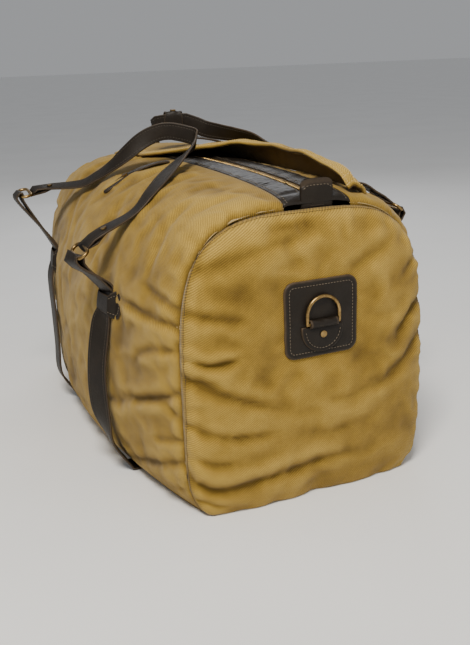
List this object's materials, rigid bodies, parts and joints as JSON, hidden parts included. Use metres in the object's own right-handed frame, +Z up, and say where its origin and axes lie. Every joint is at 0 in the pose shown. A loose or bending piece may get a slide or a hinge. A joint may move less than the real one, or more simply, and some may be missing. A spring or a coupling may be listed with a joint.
{
  "type": "duffel bag",
  "caption": "Soft canvas duffel bag with a zipped mouth under a storm flap, girth straps, ring-hung carry handles and a D-ring on a leather patch at each end.",
  "frame": {"origin": "on the ground, under the middle of the bag's base", "axes": "+X along the bag towards the near end, -Y towards the front, +Z up"},
  "size_m": [0.686, 0.497, 0.4585],
  "materials": {
    "canvas": "washed cotton twill, mustard tan, matt",
    "leather": "very dark brown bridle leather, softly polished, worn lighter at edges",
    "brass": "antique brass, darkened in the hollows",
    "tape": "dark brown woven zipper tape",
    "binding": "plain woven cotton binding tape"
  },
  "bodies": {
    "bag": {"front_panel": "canvas", "back_panel": "canvas", "base_panel": "canvas", "end_panel_near": "canvas", "end_panel_far": "canvas", "seam_binding_near": "binding", "seam_binding_far": "binding", "end_patch_near": "leather", "end_patch_far": "leather", "dring_chape_near": "leather", "dring_chape_far": "leather", "chape_rivet_near": "brass", "chape_rivet_far": "brass", "mouth_gusset_near": "leather", "mouth_gusset_far": "leather", "zip_end_tab_near": "leather", "zip_end_tab_far": "leather", "girth_strap_near": "leather", "girth_strap_far": "leather", "strap_keeper_front_near": "leather", "strap_keeper_front_far": "leather", "strap_keeper_back_near": "leather", "strap_keeper_back_far": "leather"},
    "front_lip": {"zip_facing_front": "leather", "zip_tape_front": "tape", "zip_teeth_front": "brass"},
    "back_lip": {"zip_facing_back": "leather", "zip_tape_back": "tape", "zip_teeth_back": "brass"},
    "slider": {"zip_slider": "brass"},
    "pull": {"zip_pull": "brass"},
    "flap": {"storm_flap": "canvas"},
    "tab": {"flap_tab": "leather", "tab_snap": "brass"},
    "front_handle": {"front_handle_strap": "leather", "front_handle_rivets": "brass", "ring_front_near": "brass", "ring_front_far": "brass"},
    "back_handle": {"back_handle_strap": "leather", "back_handle_rivets": "brass", "ring_back_near": "brass", "ring_back_far": "brass", "handle_wrap": "leather", "wrap_snap": "brass"},
    "dring_near": {"dring_near": "brass"},
    "dring_far": {"dring_far": "brass"}
  },
  "joints": [
    {"name": "zip_slide", "type": "slide", "parent": "bag", "child": "slider", "axis": [1, 0, 0], "range_m": [0, 0.424]},
    {"name": "front_lip_open", "type": "hinge", "parent": "bag", "child": "front_lip", "pos_m": [0, -0.027, 0.3777], "axis": [-1, 0, 0], "range_deg": [0, 75]},
    {"name": "back_lip_open", "type": "hinge", "parent": "bag", "child": "back_lip", "pos_m": [0, 0.063, 0.3755], "axis": [1, 0, 0], "range_deg": [0, 75]},
    {"name": "pull_swing", "type": "hinge", "parent": "slider", "child": "pull", "pos_m": [-0.2075, 0.018, 0.38926], "axis": [0, -1, 0], "range_deg": [0, 75.1]},
    {"name": "flap_turn", "type": "hinge", "parent": "bag", "child": "flap", "pos_m": [0, 0.094, 0.3785], "axis": [-1, 0, 0], "range_deg": [0, 125]},
    {"name": "back_handle_swing", "type": "hinge", "parent": "bag", "child": "back_handle", "pos_m": [0, 0.24, 0.312], "axis": [-1, 0, 0], "range_deg": [0, 200.5]},
    {"name": "front_handle_swing", "type": "hinge", "parent": "bag", "child": "front_handle", "pos_m": [0.142, -0.236, 0.303], "axis": [0.9905, 0.0342, -0.1332], "range_deg": [0, 140]},
    {"name": "tab_lift", "type": "hinge", "parent": "bag", "child": "tab", "pos_m": [-0.026, -0.046, 0.38727], "axis": [-1, 0, 0], "range_deg": [0, 30]},
    {"name": "dring_near_swing", "type": "hinge", "parent": "bag", "child": "dring_near", "pos_m": [0.33925, 0.005, 0.23], "axis": [0, 1, 0], "range_deg": [0, 150]},
    {"name": "dring_far_swing", "type": "hinge", "parent": "bag", "child": "dring_far", "pos_m": [-0.33925, 0.005, 0.23], "axis": [0, -1, 0], "range_deg": [0, 150]}
  ],
  "couplings": [
    {"joint": "front_lip_open", "follows": "zip_slide", "rad_per_m": 3.0842},
    {"joint": "back_lip_open", "follows": "zip_slide", "rad_per_m": 3.0842},
    {"joint": "back_handle_swing", "follows": "flap_turn", "ratio": 1.6},
    {"joint": "pull_swing", "follows": "flap_turn", "ratio": 0.6}
  ]
}
